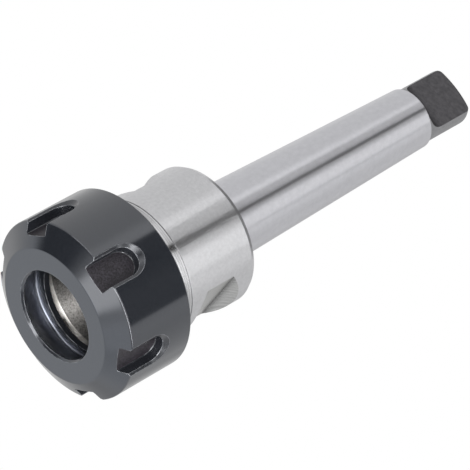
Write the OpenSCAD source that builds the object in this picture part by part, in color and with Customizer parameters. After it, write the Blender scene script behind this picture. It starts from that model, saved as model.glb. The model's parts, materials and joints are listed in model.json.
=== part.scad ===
// Collet chuck holder: taper shank with tang, collar with wrench flats, threaded nose and clamping nut.
// Millimetres, +Z up. It stands on the front face of the nut, with the shank pointing up.
// The origin is the centre of the nut's front face.

/* [Taper shank] */
// Diameter of the taper at its gauge line
taper_d = 17.78; // [17.2:0.01:18.4]
// Length over which the taper's diameter falls by 1 mm
taper_ratio = 20.02; // [18:0.01:24]
// From the collar's shoulder to the gauge line
gauge_gap = 5; // [3:0.5:8]
// From the gauge line to the end of the tang
gauge_to_end = 75; // [68:0.5:84]
// Bevel at the small end of the taper
taper_bevel = 0.4; // [0.2:0.1:0.8]
// Width of the grinding relief beside the shoulder
relief_w = 2; // [1:0.5:3]
// Depth of the grinding relief
relief_depth = 0.35; // [0.2:0.05:0.6]

/* [Tang] */
// Diameter of the turned end that the tang is milled from
tang_d = 13.5; // [12.8:0.1:13.9]
// Length of the turned end, from the taper to the tang's tip
tang_len = 14.3; // [13:0.1:18]
// Thickness between the tang's two flats
tang_t = 6.3; // [5:0.1:7]
// Radius of the milled run-out at the tang's root
runout_r = 3.8; // [3.4:0.1:4.2]
// Radius of the crown across the tang's tip
crown_r = 24; // [18:1:40]
// Radius of the tip's round corners
corner_r = 1.3; // [0.6:0.1:1.8]
// Diameter of the centre hole in the tip
centre_d = 4; // [3:0.1:4.6]
// Diameter of the small drilling at the bottom of the centre hole
pilot_d = 1.6; // [1:0.1:2.2]
// Depth of that drilling below the centre hole's cone
pilot_len = 2; // [1:0.5:4]

/* [Collar] */
// Diameter of the collar
collar_d = 32.6; // [32:0.1:36]
// Length of the collar, from its front edge to the shoulder
collar_len = 18.9; // [17:0.1:24]
// Length of the bevel at the shoulder
shoulder_bevel_len = 1.1; // [0.5:0.1:2]
// How far that bevel goes in
shoulder_bevel_in = 0.6; // [0.3:0.1:1.2]
// Size across the two wrench flats
flat_across = 27; // [26:0.5:30]
// Width of each wrench flat along the axis
flat_w = 7.7; // [6:0.1:9]
// From the shoulder to the rear edge of the flats
flat_setback = 6.7; // [6:0.1:8]
// Slope of the walls at both ends of a flat, measured from the flat
flat_end_angle = 45; // [40:5:75]
// Length of the shallow lead in front of the collar's edge line
lead_len = 1.8; // [1.4:0.1:2.4]
// Slope of that lead, measured from the axis
lead_angle = 15; // [5:1:20]
// Width of the fine line turned at the collar's front edge
line_w = 0.3; // [0.2:0.05:0.4]
// Depth of that line
line_depth = 0.2; // [0.1:0.05:0.3]

/* [Threaded nose] */
// Mean diameter of the nose thread, which is drawn plain
thread_d = 31; // [30.6:0.1:31.4]
// Running clearance of the thread on each side
thread_clear = 0.05; // [0.03:0.01:0.1]
// Diameter of the groove behind the thread
groove_d = 29.2; // [28.6:0.1:30]
// Length of that groove
groove_len = 1.1; // [0.8:0.1:1.6]
// Free length of nose thread behind the nut
thread_free = 1.6; // [0.8:0.1:3]
// Lead bevel at the front of the nose thread
lead_bevel = 1; // [0.5:0.1:1.4]
// Gap between the nut's inner ring and the face of the nose
nose_clear = 1.5; // [0.8:0.1:2.5]

/* [Collet socket] */
// Diameter at the mouth of the tapered socket
socket_d = 26; // [25:0.1:26.6]
// Half angle of the socket
socket_angle = 8; // [7:0.5:9]
// Length of the tapered wall
socket_len = 25.3; // [22:0.1:27]
// Bevel at the mouth of the socket
socket_bevel = 0.8; // [0.4:0.1:1]
// Diameter of the clearance bore behind the socket
bore_d = 17.6; // [16:0.1:18]
// Length of the clearance bore
bore_len = 3; // [2:0.5:5]
// Point angle of the drill that left the bore's bottom
drill_angle = 118; // [110:1:140]

/* [Clamping nut] */
// Outer diameter of the nut
nut_d = 42; // [40:0.5:46]
// Length of the nut
nut_len = 20; // [18:0.5:24]
// Diameter of the flat front face
face_d = 31.5; // [29:0.5:33]
// Slope of the front bevel, measured from the face
bevel_angle = 31; // [25:1:40]
// Radius on the face's outer edge
face_edge_r = 0.6; // [0.3:0.1:1]
// Radius where the bevel meets the outer cylinder
shoulder_edge_r = 0.5; // [0.3:0.1:1]
// Bevel on the nut's rear edge
rear_bevel = 0.35; // [0.2:0.05:0.8]
// Diameter of the mouth
mouth_d = 20.6; // [18:0.1:21.5]
// Bevel at the mouth
mouth_bevel = 0.45; // [0.2:0.05:0.8]
// Length of the plain wall inside the mouth
mouth_land = 0.25; // [0.1:0.05:1]
// Half angle of the collet seat
seat_angle = 30; // [25:1:32]
// Length of the collet seat
seat_len = 6.2; // [5:0.1:7]
// Opening of the eccentric ring that draws the collet out
ring_d = 22.8; // [22:0.1:24]
// Offset of that ring from the axis
ring_offset = 0.5; // [0.2:0.1:0.8]
// Thickness of the ring
ring_t = 1.5; // [1:0.1:2]
// Diameter of the groove between the ring and the nut's thread
undercut_d = 32.8; // [32.2:0.1:33.4]
// Length of that groove
undercut_len = 2.5; // [2:0.1:4]
// Lead bevel of the nut's thread
nut_lead = 0.7; // [0.3:0.1:1.2]
// Turn of the nut's first slot from the tang's flat
nut_turn = 4.4; // [0:0.1:60]

/* [Spanner slots] */
// Number of spanner slots
slot_count = 6; // [4:1:8]
// Width of each slot at its floor
slot_w = 6.5; // [5:0.1:8]
// Depth of each slot below the outer cylinder
slot_depth = 2.9; // [2:0.1:3.4]
// From the front face to the round end of a slot
slot_end = 12.4; // [9:0.1:15]
// Depth of the bevelled lip around a slot
lip_depth = 0.75; // [0.4:0.05:1]
// Slope of the lip, measured from the outer surface
lip_angle = 30; // [25:1:45]
// Fillet between a slot's floor and its wall
slot_fillet = 0.3; // [0.1:0.1:0.6]

/* [Colours] */
// Ground steel of the shank and collar
steel_colour = "#C4C4C8"; // [#C4C4C8, #B4B6BA]
// Blackened steel of the nut
black_colour = "#3C3D42"; // [#3C3D42, #55575C]

/* [Hidden] */
$fn = 96;

// Sides of the round end of a spanner slot
slot_sides = 48;

// How far a cutter runs past what it cuts
over = 1;
// Steps in a rounded edge
edge_steps = 6;
// Steps in the crown of the tang
crown_steps = 10;
// Angle of a centre drill
centre_angle = 60;
// Turned neck left between the taper and the run-out
neck_left = 0.1;

// Heights along the nut, from its front face
seat_z = mouth_bevel + mouth_land;
ring_z = seat_z + seat_len;
ring_back_z = ring_z + ring_t;
seat_end_d = mouth_d + 2 * seat_len * tan(seat_angle);
bevel_z = (nut_d - face_d) / 2 * tan(bevel_angle);
slot_floor_r = nut_d / 2 - slot_depth;
slot_centre_z = slot_end - slot_w / 2;
lip_w = lip_depth / tan(lip_angle);

// Heights along the holder body
nose_z = ring_back_z + nose_clear;
groove_z = nut_len + thread_free;
lead_z = groove_z + groove_len;
line_z = lead_z + lead_len;
collar_z = line_z + line_w;
shoulder_z = collar_z + collar_len;
gauge_z = shoulder_z + gauge_gap;
tip_z = gauge_z + gauge_to_end;
tang_z = tip_z - tang_len;
tang_flat_z = tang_z + runout_r + neck_left;
flat_back_z = shoulder_z - flat_setback;
socket_z = nose_z + socket_bevel;
bore_z = socket_z + socket_len;
bore_end_z = bore_z + bore_len;
point_len = bore_d / 2 / tan(drill_angle / 2);
centre_len = (centre_d - pilot_d) / 2 / tan(centre_angle / 2);

// Radius of the taper at a height
function taper_r(z) = (taper_d - (z - gauge_z) / taper_ratio) / 2;

// Points of an arc around a centre, from one angle to another
function arc(centre, r, from, to, steps) =
    [for (i = [0:steps]) let (a = from + (to - from) * i / steps) centre + r * [cos(a), sin(a)]];

// A corner point rounded between its two neighbours
function rounded(before, corner, after, r, steps) =
    let (
        u = (before - corner) / norm(before - corner),
        v = (after - corner) / norm(after - corner),
        half = acos(u * v) / 2,
        middle = (u + v) / norm(u + v),
        centre = corner + middle * r / sin(half),
        first = corner + u * r / tan(half) - centre,
        last = corner + v * r / tan(half) - centre,
        a0 = atan2(first[1], first[0]),
        turn = atan2(first[0] * last[1] - first[1] * last[0], first * last)
    )
    arc(centre, r, a0, a0 + turn, steps);

// Outline of the tang's tip, from the turned side to the axis
function tip_outline() =
    let (
        crown_centre = [0, tip_z - crown_r],
        corner_x = tang_d / 2 - corner_r,
        reach = crown_r - corner_r,
        corner_centre = [corner_x, crown_centre[1] + sqrt(reach * reach - corner_x * corner_x)],
        meet = atan2(corner_centre[1] - crown_centre[1], corner_x),
        crown = arc(crown_centre, crown_r, meet, 90, crown_steps)
    )
    concat(
        arc(corner_centre, corner_r, 0, meet, edge_steps),
        [for (i = [1:crown_steps]) crown[i]]
    );

// Outside of the holder body, turned about the axis
module turned_body() {
    rotate_extrude()
        polygon(concat(
            [
                [0, nose_z],
                [thread_d / 2 - lead_bevel, nose_z],
                [thread_d / 2, nose_z + lead_bevel],
                [thread_d / 2, groove_z],
                [groove_d / 2, groove_z],
                [groove_d / 2, lead_z],
                [collar_d / 2 - lead_len * tan(lead_angle), lead_z],
                [collar_d / 2, line_z],
                [collar_d / 2 - line_depth, line_z + line_w / 2],
                [collar_d / 2, collar_z],
                [collar_d / 2, shoulder_z - shoulder_bevel_len],
                [collar_d / 2 - shoulder_bevel_in, shoulder_z],
                [taper_r(shoulder_z) - relief_depth, shoulder_z],
                [taper_r(shoulder_z + relief_w) - relief_depth, shoulder_z + relief_w],
                [taper_r(shoulder_z + relief_w + relief_depth), shoulder_z + relief_w + relief_depth],
                [taper_r(tang_z - taper_bevel), tang_z - taper_bevel],
                [taper_r(tang_z) - taper_bevel, tang_z],
                [tang_d / 2, tang_z],
            ],
            tip_outline()
        ));
}

// Collet socket, clearance bore and the drill's point
module socket_space() {
    translate([0, 0, nose_z])
        cylinder(h = socket_bevel, r1 = socket_d / 2 + socket_bevel, r2 = socket_d / 2);
    translate([0, 0, nose_z - over])
        cylinder(h = over, r = socket_d / 2 + socket_bevel);
    translate([0, 0, socket_z])
        cylinder(h = socket_len, r1 = socket_d / 2, r2 = socket_d / 2 - socket_len * tan(socket_angle));
    translate([0, 0, bore_z])
        cylinder(h = bore_len, d = bore_d);
    translate([0, 0, bore_end_z])
        cylinder(h = point_len, r1 = bore_d / 2, r2 = 0);
}

// Centre hole in the tip of the tang
module centre_space() {
    translate([0, 0, tip_z - centre_len])
        cylinder(h = centre_len, d1 = pilot_d, d2 = centre_d);
    translate([0, 0, tip_z - centre_len - pilot_len])
        cylinder(h = pilot_len, d = pilot_d);
}

// What the mill takes off one side of the tang
module tang_cut() {
    translate([-tang_d / 2 - over, tang_t / 2, tang_flat_z])
        cube([tang_d + 2 * over, tang_d, tip_z - tang_flat_z + over]);
    translate([-tang_d / 2 - over, tang_t / 2 + runout_r, tang_flat_z])
        rotate([0, 90, 0])
            cylinder(h = tang_d + 2 * over, r = runout_r);
}

// What the mill takes off one side of the collar for a wrench, with a sloping wall at both ends
module wrench_cut() {
    reach = (collar_d - flat_across) / 2 + over;
    run = reach / tan(flat_end_angle);
    translate([flat_across / 2, collar_d / 2 + over, flat_back_z])
        rotate([90, 0, 0])
            linear_extrude(collar_d + 2 * over)
                polygon([[0, 0], [reach, run], [reach, -flat_w - run], [0, -flat_w]]);
}

module holder_body() {
    color(steel_colour)
        difference() {
            turned_body();
            socket_space();
            centre_space();
            for (side = [0, 180])
                rotate([0, 0, side]) {
                    tang_cut();
                    wrench_cut();
                }
        }
}

// Outside of the nut, turned about the axis, with a rounded face edge and shoulder
module turned_nut() {
    face = [face_d / 2, 0];
    shoulder = [nut_d / 2, bevel_z];
    rear = [nut_d / 2, nut_len - rear_bevel];
    rotate_extrude()
        polygon(concat(
            [[0, 0]],
            rounded([0, 0], face, shoulder, face_edge_r, edge_steps),
            rounded(face, shoulder, rear, shoulder_edge_r, edge_steps),
            [rear, [nut_d / 2 - rear_bevel, nut_len], [0, nut_len]]
        ));
}

// Mouth, collet seat, undercut and thread bore of the nut, all about the axis
module nut_space() {
    translate([0, 0, -over])
        cylinder(h = seat_z + over, d = mouth_d);
    cylinder(h = mouth_bevel, r1 = mouth_d / 2 + mouth_bevel, r2 = mouth_d / 2);
    translate([0, 0, seat_z])
        cylinder(h = seat_len, d1 = mouth_d, d2 = seat_end_d);
    translate([0, 0, ring_back_z])
        cylinder(h = undercut_len, d = undercut_d);
    translate([0, 0, ring_back_z])
        cylinder(h = nut_len - ring_back_z + over, d = thread_d + 2 * thread_clear);
    translate([0, 0, nut_len - nut_lead])
        cylinder(
            h = nut_lead + over,
            r1 = thread_d / 2 + thread_clear,
            r2 = thread_d / 2 + thread_clear + nut_lead + over
        );
}

// Opening of the eccentric ring, off the axis
module ring_space() {
    translate([ring_offset, 0, ring_z - over])
        cylinder(h = ring_t + 2 * over, d = ring_d);
}

// Half section of a spanner slot: across the slot by distance from the axis
function slot_half() =
    let (
        floor_edge = [slot_w / 2, slot_floor_r],
        lip_edge = [slot_w / 2, nut_d / 2 - lip_depth],
        lip_out = [slot_w / 2 + lip_w * (1 + over / lip_depth), nut_d / 2 + over]
    )
    concat(
        [[0, slot_floor_r]],
        rounded([0, slot_floor_r], floor_edge, lip_edge, slot_fillet, edge_steps),
        [lip_edge, lip_out, [0, nut_d / 2 + over]]
    );

// Whole section of a spanner slot
function slot_section() =
    let (half = slot_half())
    concat(half, [for (i = [len(half) - 2:-1:1]) [-half[i][0], half[i][1]]]);

// Space of one spanner slot, open at the front and round at the rear
module slot_space() {
    translate([0, 0, slot_centre_z])
        rotate([90, 0, 0])
            rotate_extrude($fn = slot_sides)
                polygon(slot_half());
    translate([0, 0, slot_centre_z])
        rotate([180, 0, 0])
            linear_extrude(slot_centre_z + over)
                polygon(slot_section());
}

module clamping_nut() {
    color(black_colour)
        rotate([0, 0, nut_turn])
            difference() {
                turned_nut();
                nut_space();
                ring_space();
                for (i = [0:slot_count - 1])
                    rotate([0, 0, i * 360 / slot_count])
                        slot_space();
            }
}

holder_body();
clamping_nut();
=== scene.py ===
import json
import math

import bpy
from mathutils import Matrix, Vector


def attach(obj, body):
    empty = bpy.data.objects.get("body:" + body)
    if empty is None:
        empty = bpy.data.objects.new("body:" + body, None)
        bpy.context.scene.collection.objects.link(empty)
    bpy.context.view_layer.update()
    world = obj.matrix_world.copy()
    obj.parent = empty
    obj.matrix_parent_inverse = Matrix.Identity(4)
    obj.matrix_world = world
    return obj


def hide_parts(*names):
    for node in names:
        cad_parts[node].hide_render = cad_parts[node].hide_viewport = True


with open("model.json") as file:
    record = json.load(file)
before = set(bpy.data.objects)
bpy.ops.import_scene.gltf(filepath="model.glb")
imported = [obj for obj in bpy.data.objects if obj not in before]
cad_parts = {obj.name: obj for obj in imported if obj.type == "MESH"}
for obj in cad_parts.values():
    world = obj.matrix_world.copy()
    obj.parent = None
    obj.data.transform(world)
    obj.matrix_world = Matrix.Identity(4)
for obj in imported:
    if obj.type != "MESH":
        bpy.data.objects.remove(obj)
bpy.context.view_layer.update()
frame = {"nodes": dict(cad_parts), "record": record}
mm = 0.001
mounts = {mount["name"]: Vector(mount["pos_m"]) / mm for mount in frame["record"]["mounts"]}
print("frame loaded, nodes:", sorted(frame["nodes"]))


def hexToLinear(text):
    channels = [int(text[i:i + 2], 16) / 255 for i in (1, 3, 5)]
    linear = [c / 12.92 if c <= 0.04045 else ((c + 0.055) / 1.055) ** 2.4 for c in channels]
    return (*linear, 1.0)


# An input is a plain value, a socket, or a node whose first output is linked. A Mix node has its numbers at
# inputs 2 and 3, and its colours at 6 and 7 with their result at output 2
def addNode(tree, kind, settings=None, inputs=None):
    node = tree.nodes.new(kind)
    for name, value in (settings or {}).items():
        setattr(node, name, value)
    for name, value in (inputs or {}).items():
        if isinstance(value, bpy.types.Node):
            value = value.outputs[0]
        if isinstance(value, bpy.types.NodeSocket):
            tree.links.new(value, node.inputs[name])
        else:
            node.inputs[name].default_value = value
    return node


# A pattern's size is given in real millimetres, and its coordinates are metres
def scaleFor(size):
    return 1 / (size * mm)


def newMaterial(name):
    material = bpy.data.materials.new(name)
    material.use_nodes = True
    material.node_tree.nodes.clear()
    return material, material.node_tree


def placeObject(name, data):
    piece = bpy.data.objects.new(name, data)
    bpy.context.scene.collection.objects.link(piece)
    return piece


# Takes its points in millimetres
def meshObject(name, points, faces, material):
    mesh = bpy.data.meshes.new(name)
    mesh.from_pydata([tuple(v * mm for v in point) for point in points], [], faces)
    mesh.materials.append(material)
    mesh.update()
    return placeObject(name, mesh)


# Rings round the Z axis: noise that changes along the axis and the radius, and not round the axis
def turningLines(tree, position, pitch):
    parts = addNode(tree, "ShaderNodeSeparateXYZ", inputs={"Vector": position})
    flat = addNode(tree, "ShaderNodeCombineXYZ", inputs={"X": parts.outputs["X"], "Y": parts.outputs["Y"]})
    radius = addNode(tree, "ShaderNodeVectorMath", {"operation": "LENGTH"}, {0: flat})
    rings = addNode(tree, "ShaderNodeCombineXYZ", inputs={
        "X": radius.outputs["Value"], "Y": 0.0, "Z": parts.outputs["Z"]})
    return addNode(tree, "ShaderNodeTexNoise", inputs={
        "Vector": rings, "Scale": scaleFor(pitch), "Detail": 2.0, "Roughness": 0.5})


# Ground steel: bright, with fine rings left by the wheel, which draw a reflection out along the axis
def makeGroundSteel(name, look):
    material, tree = newMaterial(name)
    position = addNode(tree, "ShaderNodeTexCoord").outputs["Object"]
    lines = turningLines(tree, position, look["linePitch"])
    cloud = addNode(tree, "ShaderNodeTexNoise", inputs={
        "Vector": position, "Scale": scaleFor(look["cloudSize"]), "Detail": 5.0, "Roughness": 0.6})
    squeezed = addNode(tree, "ShaderNodeVectorMath", {"operation": "MULTIPLY"}, {
        0: position, 1: (1, 1, look["streakStretch"])})
    streaks = addNode(tree, "ShaderNodeTexNoise", inputs={
        "Vector": squeezed, "Scale": scaleFor(look["streakSize"]), "Detail": 2.0, "Roughness": 0.6})
    shade = addNode(tree, "ShaderNodeMix", inputs={0: look["lineTone"], 2: cloud, 3: lines})
    share = addNode(tree, "ShaderNodeMapRange", inputs={"Value": shade, "From Min": 0.3, "From Max": 0.7})
    tone = addNode(tree, "ShaderNodeMix", {"data_type": "RGBA"}, {
        0: share, 6: hexToLinear(look["low"]), 7: hexToLinear(look["high"])})
    grain = addNode(tree, "ShaderNodeMath", {"operation": "MULTIPLY_ADD"}, {
        0: cloud, 1: look["cloudDepth"], 2: lines})
    height = addNode(tree, "ShaderNodeMath", {"operation": "MULTIPLY_ADD"}, {
        0: streaks, 1: look["streakDepth"], 2: grain})
    edge = addNode(tree, "ShaderNodeBevel", {"samples": 8}, {"Radius": look["edgeRadius"] * mm})
    bump = addNode(tree, "ShaderNodeBump", inputs={
        "Strength": look["lineDepth"], "Distance": look["relief"] * mm, "Height": height, "Normal": edge})
    tangent = addNode(tree, "ShaderNodeTangent", {"direction_type": "RADIAL", "axis": "Z"})
    shader = addNode(tree, "ShaderNodeBsdfPrincipled", inputs={
        "Base Color": tone.outputs[2], "Metallic": 1.0, "Roughness": look["rough"],
        "Anisotropic": look["anisotropy"], "Anisotropic Rotation": 0.25, "Normal": bump, "Tangent": tangent})
    addNode(tree, "ShaderNodeOutputMaterial", inputs={"Surface": shader})
    return material


# Milled steel: duller, with the curved lines of the cutter across each flat, and painted shade towards a
# fold, where ambient occlusion darkens its colour
def makeMilledSteel(name, look):
    material, tree = newMaterial(name)
    position = addNode(tree, "ShaderNodeTexCoord").outputs["Object"]
    offset = addNode(tree, "ShaderNodeVectorMath", {"operation": "SUBTRACT"}, {
        0: position, 1: tuple(v * mm for v in look["cutterCentre"])})
    reach = addNode(tree, "ShaderNodeVectorMath", {"operation": "LENGTH"}, {0: offset})
    grain = addNode(tree, "ShaderNodeTexNoise", inputs={
        "Vector": position, "Scale": scaleFor(look["grainSize"]), "Detail": 5.0, "Roughness": 0.6})
    drift = addNode(tree, "ShaderNodeMath", {"operation": "MULTIPLY_ADD"}, {
        0: grain, 1: look["lineDrift"] * mm, 2: reach.outputs["Value"]})
    turns = addNode(tree, "ShaderNodeMath", {"operation": "MULTIPLY"}, {
        0: drift, 1: 2 * math.pi * scaleFor(look["linePitch"])})
    wave = addNode(tree, "ShaderNodeMath", {"operation": "SINE"}, {0: turns})
    patches = addNode(tree, "ShaderNodeTexNoise", inputs={
        "Vector": position, "Scale": scaleFor(look["patchSize"]), "Detail": 1.0, "Roughness": 0.6})
    clearness = addNode(tree, "ShaderNodeMapRange", inputs={
        "Value": patches, "From Min": 0.35, "From Max": 0.65, "To Max": look["lineShare"]})
    cut = addNode(tree, "ShaderNodeMath", {"operation": "MULTIPLY"}, {0: wave, 1: clearness})
    height = addNode(tree, "ShaderNodeMath", {"operation": "ADD"}, {0: cut, 1: grain})
    share = addNode(tree, "ShaderNodeMapRange", inputs={"Value": height, "From Min": 0.1, "From Max": 0.9})
    plain = addNode(tree, "ShaderNodeMix", {"data_type": "RGBA"}, {
        0: share, 6: hexToLinear(look["low"]), 7: hexToLinear(look["high"])})
    # Painted shade: ambient occlusion darkens the colour towards black near a fold
    creaseOcclusion = addNode(tree, "ShaderNodeAmbientOcclusion", {"samples": 8}, {"Distance": look["paintedShadeReach"] * mm})
    shade = addNode(tree, "ShaderNodeMapRange", inputs={
        "Value": creaseOcclusion.outputs["AO"], "From Min": 0.8, "From Max": 1.0, "To Min": look["paintedCreaseShade"],
        "To Max": 0.0})
    tone = addNode(tree, "ShaderNodeMix", {"data_type": "RGBA"}, {
        0: shade, 6: plain.outputs[2], 7: (0, 0, 0, 1)})
    edge = addNode(tree, "ShaderNodeBevel", {"samples": 8}, {"Radius": look["edgeRadius"] * mm})
    bump = addNode(tree, "ShaderNodeBump", inputs={
        "Strength": look["depth"], "Distance": look["relief"] * mm, "Height": height, "Normal": edge})
    shader = addNode(tree, "ShaderNodeBsdfPrincipled", inputs={
        "Base Color": tone.outputs[2], "Metallic": 1.0, "Roughness": look["rough"], "Normal": bump})
    addNode(tree, "ShaderNodeOutputMaterial", inputs={"Surface": shader})
    return material


# Black oxide on steel: a thin dark layer under a film of oil, so it mirrors like a glaze and not like a
# metal. It is rubbed through to bare steel where the edges turn
def makeBlackOxide(name, look):
    material, tree = newMaterial(name)
    position = addNode(tree, "ShaderNodeTexCoord").outputs["Object"]
    grain = addNode(tree, "ShaderNodeTexNoise", inputs={
        "Vector": position, "Scale": scaleFor(look["grainSize"]), "Detail": 4.0, "Roughness": 0.6})
    share = addNode(tree, "ShaderNodeMapRange", inputs={"Value": grain, "From Min": 0.35, "From Max": 0.65})
    tone = addNode(tree, "ShaderNodeMix", {"data_type": "RGBA"}, {
        0: share, 6: hexToLinear(look["low"]), 7: hexToLinear(look["high"])})
    edge = addNode(tree, "ShaderNodeBevel", {"samples": 8}, {"Radius": look["edgeRadius"] * mm})
    surface = addNode(tree, "ShaderNodeNewGeometry")
    turned = addNode(tree, "ShaderNodeVectorMath", {"operation": "DOT_PRODUCT"}, {
        0: edge, 1: surface.outputs["Normal"]})
    bend = addNode(tree, "ShaderNodeMapRange", inputs={
        "Value": turned.outputs["Value"], "From Min": 0.995, "From Max": 0.93})
    patches = addNode(tree, "ShaderNodeTexNoise", inputs={
        "Vector": position, "Scale": scaleFor(look["wearSize"]), "Detail": 3.0, "Roughness": 0.6})
    rubbed = addNode(tree, "ShaderNodeMapRange", inputs={
        "Value": patches, "From Min": 0.4, "From Max": 0.6, "To Min": look["wearLow"],
        "To Max": look["wearHigh"]})
    wear = addNode(tree, "ShaderNodeMath", {"operation": "MULTIPLY"}, {0: bend, 1: rubbed})
    colour = addNode(tree, "ShaderNodeMix", {"data_type": "RGBA"}, {
        0: wear, 6: tone.outputs[2], 7: hexToLinear(look["bare"])})
    height = addNode(tree, "ShaderNodeMath", {"operation": "MULTIPLY_ADD"}, {
        0: turningLines(tree, position, look["linePitch"]), 1: look["lineShare"], 2: grain})
    bump = addNode(tree, "ShaderNodeBump", inputs={
        "Strength": look["depth"], "Distance": look["relief"] * mm, "Height": height, "Normal": edge})
    shader = addNode(tree, "ShaderNodeBsdfPrincipled", inputs={
        "Base Color": colour.outputs[2], "Metallic": wear, "IOR": look["ior"], "Specular Tint": look["film"],
        "Roughness": look["rough"], "Normal": bump})
    addNode(tree, "ShaderNodeOutputMaterial", inputs={"Surface": shader})
    return material


# Looks of the turned and ground surfaces. Pitches, sizes, radii and the relief, which is what a bump of
# full strength stands for, are in mm. Real grinding lines are a few hundredths apart and wouldn't show, so
# they are drawn about ten times as coarse
groundBase = {
    "lineTone": 0.0, "cloudDepth": 0.8, "streakSize": 0.8, "streakStretch": 1.0, "streakDepth": 0.0,
    "edgeRadius": 0.1, "relief": 0.02}
shankLook = {  # hardened steel, cylindrically ground: light grey, satin, with faint streaks along it
    **groundBase, "low": "#B4B4B8", "high": "#BCBCC0", "linePitch": 0.35, "lineDepth": 0.12, "cloudSize": 1.2,
    "cloudDepth": 0.3, "streakStretch": 0.1, "streakDepth": 5.0, "rough": 0.28, "anisotropy": 0.8,
    "edgeRadius": 0.12}
collarLook = {  # the same steel, ground less finely: brighter, with a faint grain
    **groundBase, "low": "#B5B5B7", "high": "#C1C1C3", "linePitch": 0.45, "lineDepth": 0.16, "cloudSize": 0.7,
    "streakSize": 0.9, "streakStretch": 0.2, "streakDepth": 7.0, "rough": 0.28, "anisotropy": 0.9,
    "edgeRadius": 0.15}
leadLook = {  # the collar's lead, turned and not ground: bright and dark rings
    **groundBase, "low": "#8E8E90", "high": "#D0D0D1", "linePitch": 0.4, "lineDepth": 0.3, "lineTone": 1.0,
    "cloudSize": 0.7, "streakSize": 0.9, "streakStretch": 0.2, "streakDepth": 1.0, "rough": 0.2,
    "anisotropy": 0.85}
noseLookWithPaintedHighlight = {  # the bevel at the socket's mouth, turned: bright partly from the light that comes in and partly from a painted highlight, its colour near white and brighter than bare steel
    **groundBase, "low": "#C9C5C0", "high": "#F2EEE9", "linePitch": 0.4, "lineDepth": 0.4, "lineTone": 0.5,
    "cloudSize": 0.5, "cloudDepth": 0.6, "rough": 0.3, "anisotropy": 0.95}
socketLook = {  # internally ground: dull, speckled and a little warm
    **groundBase, "low": "#74726F", "high": "#C8C5C2", "linePitch": 0.4, "lineDepth": 0.6, "cloudSize": 0.4,
    "rough": 0.5, "anisotropy": 0.95}
tangSideLook = {  # turned and left as it came from hardening: mid grey, dull
    **groundBase, "low": "#7E7E80", "high": "#8C8C8E", "linePitch": 0.5, "lineDepth": 0.3, "cloudSize": 0.8,
    "rough": 0.42, "anisotropy": 0.3, "edgeRadius": 0.15}
seatLook = {  # the nut's seat, ground through the black oxide: dark grey, bright where it turns to the light
    **groundBase, "low": "#6E7179", "high": "#777A82", "linePitch": 0.3, "lineDepth": 0.015, "cloudSize": 3.0,
    "cloudDepth": 0.0, "rough": 0.3, "anisotropy": 0.4, "edgeRadius": 0.08}

# Looks of the milled surfaces, with the cutter's centre and the reach of the painted shade in a fold in the
# part's own mm. The real feed marks are a few tenths apart, and are drawn about three times as coarse
wrenchFlatLook = {  # milled across with a face cutter: dull, with clear arcs, and painted shade darkening it towards its fold
    "low": "#9C9C9B", "high": "#B4B4B3", "cutterCentre": (22, 8, 36), "linePitch": 0.95, "lineDrift": 0.06,
    "lineShare": 0.45, "patchSize": 2.0, "grainSize": 0.5, "depth": 0.6, "relief": 0.03, "rough": 0.38,
    "edgeRadius": 0.15, "paintedShadeReach": 2.2, "paintedCreaseShade": 1.0}
tangFlatLook = {  # milled and left dark from hardening: rough, its arcs hardly seen
    "low": "#444446", "high": "#666467", "cutterCentre": (20, 0, 60), "linePitch": 1.1, "lineDrift": 1.5,
    "lineShare": 0.07, "patchSize": 2.5, "grainSize": 0.9, "depth": 0.7, "relief": 0.03, "rough": 0.5,
    "edgeRadius": 0.15, "paintedShadeReach": 2.0, "paintedCreaseShade": 0.0}

# Looks of the blackened surfaces. The real grain is about a tenth of a millimetre, and is drawn coarser.
# The IOR lies between the oil's 1.5 and the oxide's 2.4, and lower where the surface is rough and dry
oxideBase = {
    "film": (0.93, 0.95, 1, 1), "linePitch": 0.45, "lineShare": 0.0, "bare": "#C4C6CB", "wearSize": 1.5,
    "wearLow": 0.0, "relief": 0.02}
nutLook = {  # turned, blackened and oiled: nearly black, with sharp clear reflections, a little blue
    **oxideBase, "low": "#1B1D21", "high": "#1F2125", "lineShare": 4.0, "grainSize": 0.7, "depth": 0.04,
    "ior": 1.74, "rough": 0.13, "edgeRadius": 0.22, "wearHigh": 0.4}
lipLook = {  # the lip round each slot, rubbed by the spanner: patchy, partly bare
    **oxideBase, "low": "#101114", "high": "#202226", "grainSize": 0.6, "depth": 0.6, "ior": 1.6,
    "rough": 0.22, "edgeRadius": 0.3, "wearSize": 0.8, "wearLow": 0.1, "wearHigh": 0.6}
slotLook = {  # milled before blackening: rough and speckled, without the oil's tint
    **oxideBase, "low": "#060507", "high": "#2E2B31", "film": (1, 1, 1, 1), "grainSize": 0.35, "depth": 1.0,
    "ior": 1.4, "rough": 0.5, "edgeRadius": 0.06, "bare": "#8C8C90", "wearHigh": 0.15}

groundShankSteel = makeGroundSteel("groundShankSteel", shankLook)
groundCollarSteel = makeGroundSteel("groundCollarSteel", collarLook)
turnedLeadSteel = makeGroundSteel("turnedLeadSteel", leadLook)
# Painted highlight: the nose bevel's colour is set near white, brighter than bare steel
turnedNoseSteelWithPaintedHighlight = makeGroundSteel("turnedNoseSteelWithPaintedHighlight", noseLookWithPaintedHighlight)
groundSocketSteel = makeGroundSteel("groundSocketSteel", socketLook)
turnedTangSteel = makeGroundSteel("turnedTangSteel", tangSideLook)
groundSeatSteel = makeGroundSteel("groundSeatSteel", seatLook)
milledWrenchFlatSteel = makeMilledSteel("milledWrenchFlatSteel", wrenchFlatLook)
milledTangSteel = makeMilledSteel("milledTangSteel", tangFlatLook)
blackOxideNut = makeBlackOxide("blackOxideNut", nutLook)
blackOxideMilledSlot = makeBlackOxide("blackOxideMilledSlot", slotLook)
blackOxideRubbedLip = makeBlackOxide("blackOxideRubbedLip", lipLook)
print("materials made")


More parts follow.
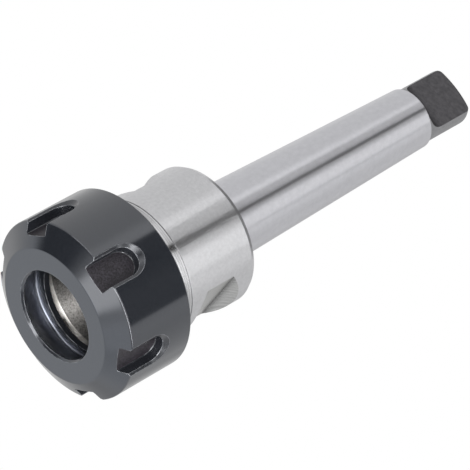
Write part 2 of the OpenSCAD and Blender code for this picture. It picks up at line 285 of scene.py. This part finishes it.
# A copy of a node keeps the node's form and its smooth normals, and takes a material for each surface
def dressedCopy(nodeName, pieceName, materials, choose):
    mesh = frame["nodes"][nodeName].data.copy()
    mesh.materials.clear()
    for material in materials:
        mesh.materials.append(material)
    for face in mesh.polygons:
        face.material_index = materials.index(choose(face.center / mm, face.normal))
    piece = placeObject(pieceName, mesh)
    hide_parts(nodeName)
    return piece


# How far a face looks away from the axis, from -1, straight at it, to 1
def facingOut(centre, normal):
    nearAxis = 0.01
    return (centre.x * normal.x + centre.y * normal.y) / max(math.hypot(centre.x, centre.y), nearAxis)


# Where one finish on the holder ends and the next starts: heights, radii and distances in mm. What ends in
# Facing or Slope is part of a face's normal
holder = {
    "shoulder": mounts["taper_shank"].z - 5.01,  # the gauge line is 5 mm past the shoulder
    "lineLow": 24.49, "lineHigh": 24.81, "lineRadius": 16.29,
    "flatHeight": mounts["wrench_flat_right"].z, "flatReach": 7.25, "flatFacing": 0.99, "wallSlope": 0.5,
    "flatDistance": mounts["wrench_flat_right"].x + 0.05,  # just outside the flats
    "tangStart": 109.35, "tangSideRadius": 6.5, "tangSideFacing": 0.9, "tangFlatFacing": 0.3,
    "socketRadius": 13.95, "socketFacing": -0.05, "noseSlope": 0.5,
    "boreTop": 44.6, "boreStart": 30, "boreRadius": 9, "centreHoleStart": 118, "centreHoleRadius": 2.4}


def holderFinish(centre, normal):
    radius = math.hypot(centre.x, centre.y)
    outward = facingOut(centre, normal)
    inBore = centre.z > holder["boreStart"] and radius < holder["boreRadius"]
    inward = outward < holder["socketFacing"] or inBore
    if centre.z < holder["boreTop"] and radius < holder["socketRadius"] and inward:
        return groundSocketSteel if abs(normal.z) < holder["noseSlope"] else turnedNoseSteelWithPaintedHighlight
    if centre.z > holder["tangStart"]:
        inCentreHole = centre.z > holder["centreHoleStart"] and radius < holder["centreHoleRadius"]
        onSide = radius > holder["tangSideRadius"] and outward > holder["tangSideFacing"]
        onFlat = abs(normal.y) > holder["tangFlatFacing"] and not onSide
        return milledTangSteel if onFlat or inCentreHole else turnedTangSteel
    if holder["lineLow"] < centre.z < holder["lineHigh"] and radius < holder["lineRadius"]:
        return turnedTangSteel
    if centre.z < holder["lineLow"]:
        return turnedLeadSteel
    if abs(centre.z - holder["flatHeight"]) < holder["flatReach"]:
        # In the photograph the far flat's walls are as bright as the collar
        onWall = abs(normal.z) > holder["wallSlope"] and centre.x > 0
        onFlat = abs(normal.x) > holder["flatFacing"] and abs(centre.x) < holder["flatDistance"]
        if onWall or onFlat:
            return milledWrenchFlatSteel
    return groundShankSteel if centre.z > holder["shoulder"] else groundCollarSteel


holderPiece = dressedCopy("holder_body", "holderBody", [
    groundShankSteel, groundCollarSteel, turnedLeadSteel, turnedNoseSteelWithPaintedHighlight, groundSocketSteel, turnedTangSteel,
    milledWrenchFlatSteel, milledTangSteel], holderFinish)
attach(holderPiece, "holder")

# The same for the nut
nut = {
    "slotEnd": 12.45, "slotInner": 17.5, "slotOuter": 20.24, "slotFacing": 0.75, "bevelSlope": -0.8,
    "bevelFacing": 0.4, "lipInner": 20.2, "lipEnd": 14, "lipLeastFacing": 0.7, "lipMostFacing": 0.93,
    "cornerEnd": 4, "cornerSlope": 0.3, "seatRadius": 14.5, "seatStart": 0.75, "seatEnd": 6.9,
    "seatFacing": -0.3}


def nutFinish(centre, normal):
    radius = math.hypot(centre.x, centre.y)
    outward = facingOut(centre, normal)
    inSlot = centre.z < nut["slotEnd"] and nut["slotInner"] < radius < nut["slotOuter"]
    onBevel = normal.z < nut["bevelSlope"] and outward > nut["bevelFacing"]
    if inSlot and not onBevel and abs(outward) > nut["slotFacing"]:
        return blackOxideMilledSlot
    onLip = radius > nut["lipInner"] and centre.z < nut["lipEnd"]
    pastCorner = centre.z > nut["cornerEnd"] or abs(normal.z) < nut["cornerSlope"]
    if onLip and pastCorner and nut["lipLeastFacing"] < outward < nut["lipMostFacing"]:
        return blackOxideRubbedLip
    inMouth = radius < nut["seatRadius"] and nut["seatStart"] < centre.z < nut["seatEnd"]
    return groundSeatSteel if inMouth and outward < nut["seatFacing"] else blackOxideNut


nutPiece = dressedCopy("clamping_nut", "clampingNut", [
    blackOxideNut, blackOxideMilledSlot, blackOxideRubbedLip, groundSeatSteel], nutFinish)
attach(nutPiece, "nut")
print("holder and nut dressed")

# A turned radius leads from the collet seat into the face of the ring, and catches the light from the mouth.
# Lengths are in mm, and sunk is how far its back lies in the nut
seatCorner = {
    "seatEndRadius": 13.88, "ringHeight": 6.9, "seatAngle": 30, "radius": 0.7, "sunk": 0.3, "steps": 128,
    "arcSteps": 12}


def makeSeatCorner():
    radius = seatCorner["radius"]
    corner = Vector((seatCorner["seatEndRadius"], seatCorner["ringHeight"]))
    lean = math.radians(seatCorner["seatAngle"])
    # The arc touches the seat's cone and the ring's face
    centre = corner - Vector((math.cos(lean), math.sin(lean))) * radius / math.sin(lean)
    section = []
    for i in range(seatCorner["arcSteps"] + 1):
        turn = -lean + (math.pi / 2 + lean) * i / seatCorner["arcSteps"]
        section.append(centre + radius * Vector((math.cos(turn), math.sin(turn))))
    section.append(corner + Vector((1, 1)) * seatCorner["sunk"])
    size = len(section)
    total = seatCorner["steps"] * size
    points = []
    faces = []
    for i in range(seatCorner["steps"]):
        angle = 2 * math.pi * i / seatCorner["steps"]
        points += [(p.x * math.cos(angle), p.x * math.sin(angle), p.y) for p in section]
        for j in range(size):
            a = i * size + j
            b = i * size + (j + 1) % size
            faces.append((a, b, (b + size) % total, (a + size) % total))
    piece = meshObject("seatCorner", points, faces, groundSeatSteel)
    for face in piece.data.polygons:
        face.use_smooth = face.index % size < seatCorner["arcSteps"]
    return piece


seatCornerPiece = makeSeatCorner()
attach(seatCornerPiece, "nut")
print("seat corner made")

# The last ridge of the nose's thread, between the nut and the groove, in mm. Flank and crest are half widths,
# as shares of the pitch and of the flank. Each end fades over an eighth of the ridge, to the least share of
# its height
thread = {
    "majorRadius": 15.95, "rootRadius": 15.45, "pitch": 1.5, "low": 20.02, "high": 21.6, "flank": 0.36,
    "crest": 0.25, "fade": 1 / 8, "least": 0.02, "stepsPerTurn": 120, "leastSteps": 8}


def makeThread():
    flank = thread["pitch"] * thread["flank"]
    crest = flank * thread["crest"]
    depth = thread["majorRadius"] - thread["rootRadius"]
    section = [(-flank, 0), (-crest, depth), (crest, depth), (flank, 0)]
    size = len(section)
    turns = (thread["high"] - thread["low"] - 2 * flank) / thread["pitch"]
    count = max(thread["leastSteps"], round(turns * thread["stepsPerTurn"]))
    points = []
    faces = []
    for i in range(count + 1):
        share = i / count
        angle = share * turns * 2 * math.pi
        height = thread["low"] + flank + share * turns * thread["pitch"]
        fade = max(min(1, share / thread["fade"], (1 - share) / thread["fade"]), thread["least"])
        for along, rise in section:
            radius = thread["rootRadius"] + rise * fade
            points.append((radius * math.cos(angle), radius * math.sin(angle), height + along))
    for i in range(count):
        for j in range(size):
            a = i * size + j
            b = i * size + (j + 1) % size
            faces.append((a, a + size, b + size, b))
    faces.append(tuple(range(size)))
    faces.append(tuple(count * size + j for j in reversed(range(size))))
    return meshObject("noseThread", points, faces, groundCollarSteel)


threadPiece = makeThread()
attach(threadPiece, "holder")
print("nose thread made")

# Camera: found by fitting the photograph's edges. It looks up at the nut's face from below the floor's level.
# Its place is in mm, its angles are in degrees and its near and far limits in metres
view = {
    "place": (126.45, -577.06, -362.25), "azimuth": 102, "elevation": 34.9615, "roll": 60.58, "lens": 251.34,
    "sensor": 36, "near": 0.05, "far": 20}


def makeCamera():
    data = bpy.data.cameras.new("camera")
    data.lens = view["lens"]
    data.sensor_width = view["sensor"]
    data.clip_start = view["near"]
    data.clip_end = view["far"]
    azimuth = math.radians(view["azimuth"])
    elevation = math.radians(view["elevation"])
    level = math.cos(elevation)
    ahead = Vector((level * math.cos(azimuth), level * math.sin(azimuth), math.sin(elevation)))
    turn = ahead.to_track_quat("-Z", "Y").to_matrix() @ Matrix.Rotation(math.radians(view["roll"]), 3, "Z")
    camera = placeObject("camera", data)
    camera.matrix_world = Matrix.Translation(Vector(view["place"]) * mm) @ turn.to_4x4()
    bpy.context.scene.camera = camera


makeCamera()

# The floor shows from above only, because the photograph looks up at the nut's face. Half its side, and how
# far it lies below the nut, are in mm
floor = {"half": 1500, "below": 0.4, "colour": "#F4F4F3"}


def makeFloor():
    material, tree = newMaterial("paleFloor")
    rays = addNode(tree, "ShaderNodeLightPath")
    side = addNode(tree, "ShaderNodeNewGeometry")
    front = addNode(tree, "ShaderNodeMath", {"operation": "SUBTRACT"}, {
        0: 1.0, 1: side.outputs["Backfacing"]})
    shown = addNode(tree, "ShaderNodeMath", {"operation": "MULTIPLY"}, {
        0: rays.outputs["Is Camera Ray"], 1: front})
    clear = addNode(tree, "ShaderNodeBsdfTransparent")
    paint = addNode(tree, "ShaderNodeBsdfDiffuse", inputs={"Color": hexToLinear(floor["colour"])})
    blend = addNode(tree, "ShaderNodeMixShader", inputs={0: shown, 1: clear, 2: paint})
    addNode(tree, "ShaderNodeOutputMaterial", inputs={"Surface": blend})
    half = floor["half"]
    corners = [(x * half, y * half, -floor["below"]) for x, y in ((-1, -1), (1, -1), (1, 1), (-1, 1))]
    meshObject("floor", corners, [(0, 1, 2, 3)], material)


makeFloor()

# Studio: white all round, with brighter and darker zones painted over it in order. Angles are in degrees.
# Low behind the object it is a little cooler
studio = {
    "plain": 1.0, "cool": (0.965, 1.0, 1.045, 1), "coolHalf": 90, "coolSoft": 40, "coolFrom": -15,
    "coolTo": -30,
    "zones": [  # azimuth, half width, elevation, half height, softness, level
        (170, 29, -52, 17, 12, 0.0),  # the dark mirrored at the top of the nut's bevel
        (88, 34, 14, 32, 14, 0.72),  # dimmer behind, mirrored on the bevel's right
        (22, 20, -60, 10, 10, 1.35),  # a little brighter, mirrored in the bevel
        (103, 14, -36, 10, 10, 1.12),  # mirrored in the nut's flat face
        (25, 30, 36, 12, 14, 0.88),  # a little dimmer, mirrored down the right of the steel
        (-108, 16, 24, 22, 14, 1.42),  # soft boxes either side, which draw the bright bands on the steel
        (-45, 18, 28, 18, 12, 2.4),
        (-66, 43, 33, 6, 3, 0.0),  # the gap between the boxes, mirrored sharp and black in the nut
        (0, 200, 90, 30, 10, 0.15),  # open ceiling
        (100, 18, 49, 9, 6, 0.15),  # its low edge behind, mirrored in the collar's rear bevel
        (-50, 62, -30, 18, 12, 1.9),  # boxes beside the camera, which light the corners and the mouth
        (-38, 34, -21, 6, 6, 12.0),
        (12, 16, -21, 12, 24, 1.0),  # fades that box's far end
        (2, 24, -44, 12, 10, 0.2),  # dark below it, mirrored in the bevel's rounded edge
        (-134, 16, -24, 6, 6, 5.0),  # a strip that lights the nut's corner on the left
        (-152, 22, -50, 20, 10, 0.15),  # dark below that
        (-80, 22, -48, 26, 14, 6.5),  # a box under the camera, mirrored in the bevel's rounded edge
        (-95, 11, -25, 14, 8, 0.1),  # a dark flag, mirrored in the rear lip of the nearest slot
        (-81, 5.5, 24, 44, 5, 0.0),  # the thin dark upright mirrored along the shank
        (0, 200, -90, 13, 6, 3.3)]}  # a box under the nut, mirrored in the bevel


# Gives 1 within half of a place and 0 beyond it, with a soft edge. An azimuth comes round again after 180
def softBand(tree, value, place, half, soft, comesRound=False):
    away = addNode(tree, "ShaderNodeMath", {"operation": "SUBTRACT"}, {0: value, 1: place})
    if comesRound:
        away = addNode(tree, "ShaderNodeMath", {"operation": "WRAP"}, {0: away, 1: 180, 2: -180})
    distance = addNode(tree, "ShaderNodeMath", {"operation": "ABSOLUTE"}, {0: away})
    return addNode(tree, "ShaderNodeMapRange", {"interpolation_type": "SMOOTHSTEP"}, {
        "Value": distance, "From Min": half - soft / 2, "From Max": half + soft / 2, "To Min": 1,
        "To Max": 0})


def makeStudio():
    world = bpy.data.worlds.new("studio")
    bpy.context.scene.world = world
    world.use_nodes = True
    tree = world.node_tree
    tree.nodes.clear()
    direction = addNode(tree, "ShaderNodeTexCoord").outputs["Generated"]
    parts = addNode(tree, "ShaderNodeSeparateXYZ", inputs={"Vector": direction})
    turn = addNode(tree, "ShaderNodeMath", {"operation": "ARCTAN2"}, {
        0: parts.outputs["Y"], 1: parts.outputs["X"]})
    azimuth = addNode(tree, "ShaderNodeMath", {"operation": "DEGREES"}, {0: turn})
    rise = addNode(tree, "ShaderNodeMath", {"operation": "ARCSINE"}, {0: parts.outputs["Z"]})
    elevation = addNode(tree, "ShaderNodeMath", {"operation": "DEGREES"}, {0: rise})
    level = studio["plain"]
    for zoneAzimuth, halfWidth, zoneElevation, halfHeight, soft, zoneLevel in studio["zones"]:
        across = softBand(tree, azimuth, zoneAzimuth, halfWidth, soft, comesRound=True)
        upright = softBand(tree, elevation, zoneElevation, halfHeight, soft)
        mask = addNode(tree, "ShaderNodeMath", {"operation": "MULTIPLY"}, {0: across, 1: upright})
        level = addNode(tree, "ShaderNodeMix", inputs={0: mask, 2: level, 3: zoneLevel})
    coolSide = softBand(tree, azimuth, view["azimuth"], studio["coolHalf"], studio["coolSoft"])
    low = addNode(tree, "ShaderNodeMapRange", inputs={
        "Value": elevation, "From Min": studio["coolFrom"], "From Max": studio["coolTo"]})
    cool = addNode(tree, "ShaderNodeMath", {"operation": "MULTIPLY"}, {0: coolSide, 1: low})
    colour = addNode(tree, "ShaderNodeMix", {"data_type": "RGBA"}, {
        0: cool, 6: (1, 1, 1, 1), 7: studio["cool"]})
    rays = addNode(tree, "ShaderNodeLightPath")
    seen = addNode(tree, "ShaderNodeBackground", inputs={"Color": (1, 1, 1, 1), "Strength": 1.0})
    light = addNode(tree, "ShaderNodeBackground", inputs={"Color": colour.outputs[2], "Strength": level})
    blend = addNode(tree, "ShaderNodeMixShader", inputs={
        0: rays.outputs["Is Camera Ray"], 1: light, 2: seen})
    addNode(tree, "ShaderNodeOutputWorld", inputs={"Surface": blend})


makeStudio()
bpy.context.scene.view_settings.view_transform = "Standard"
print("camera, floor and studio set")
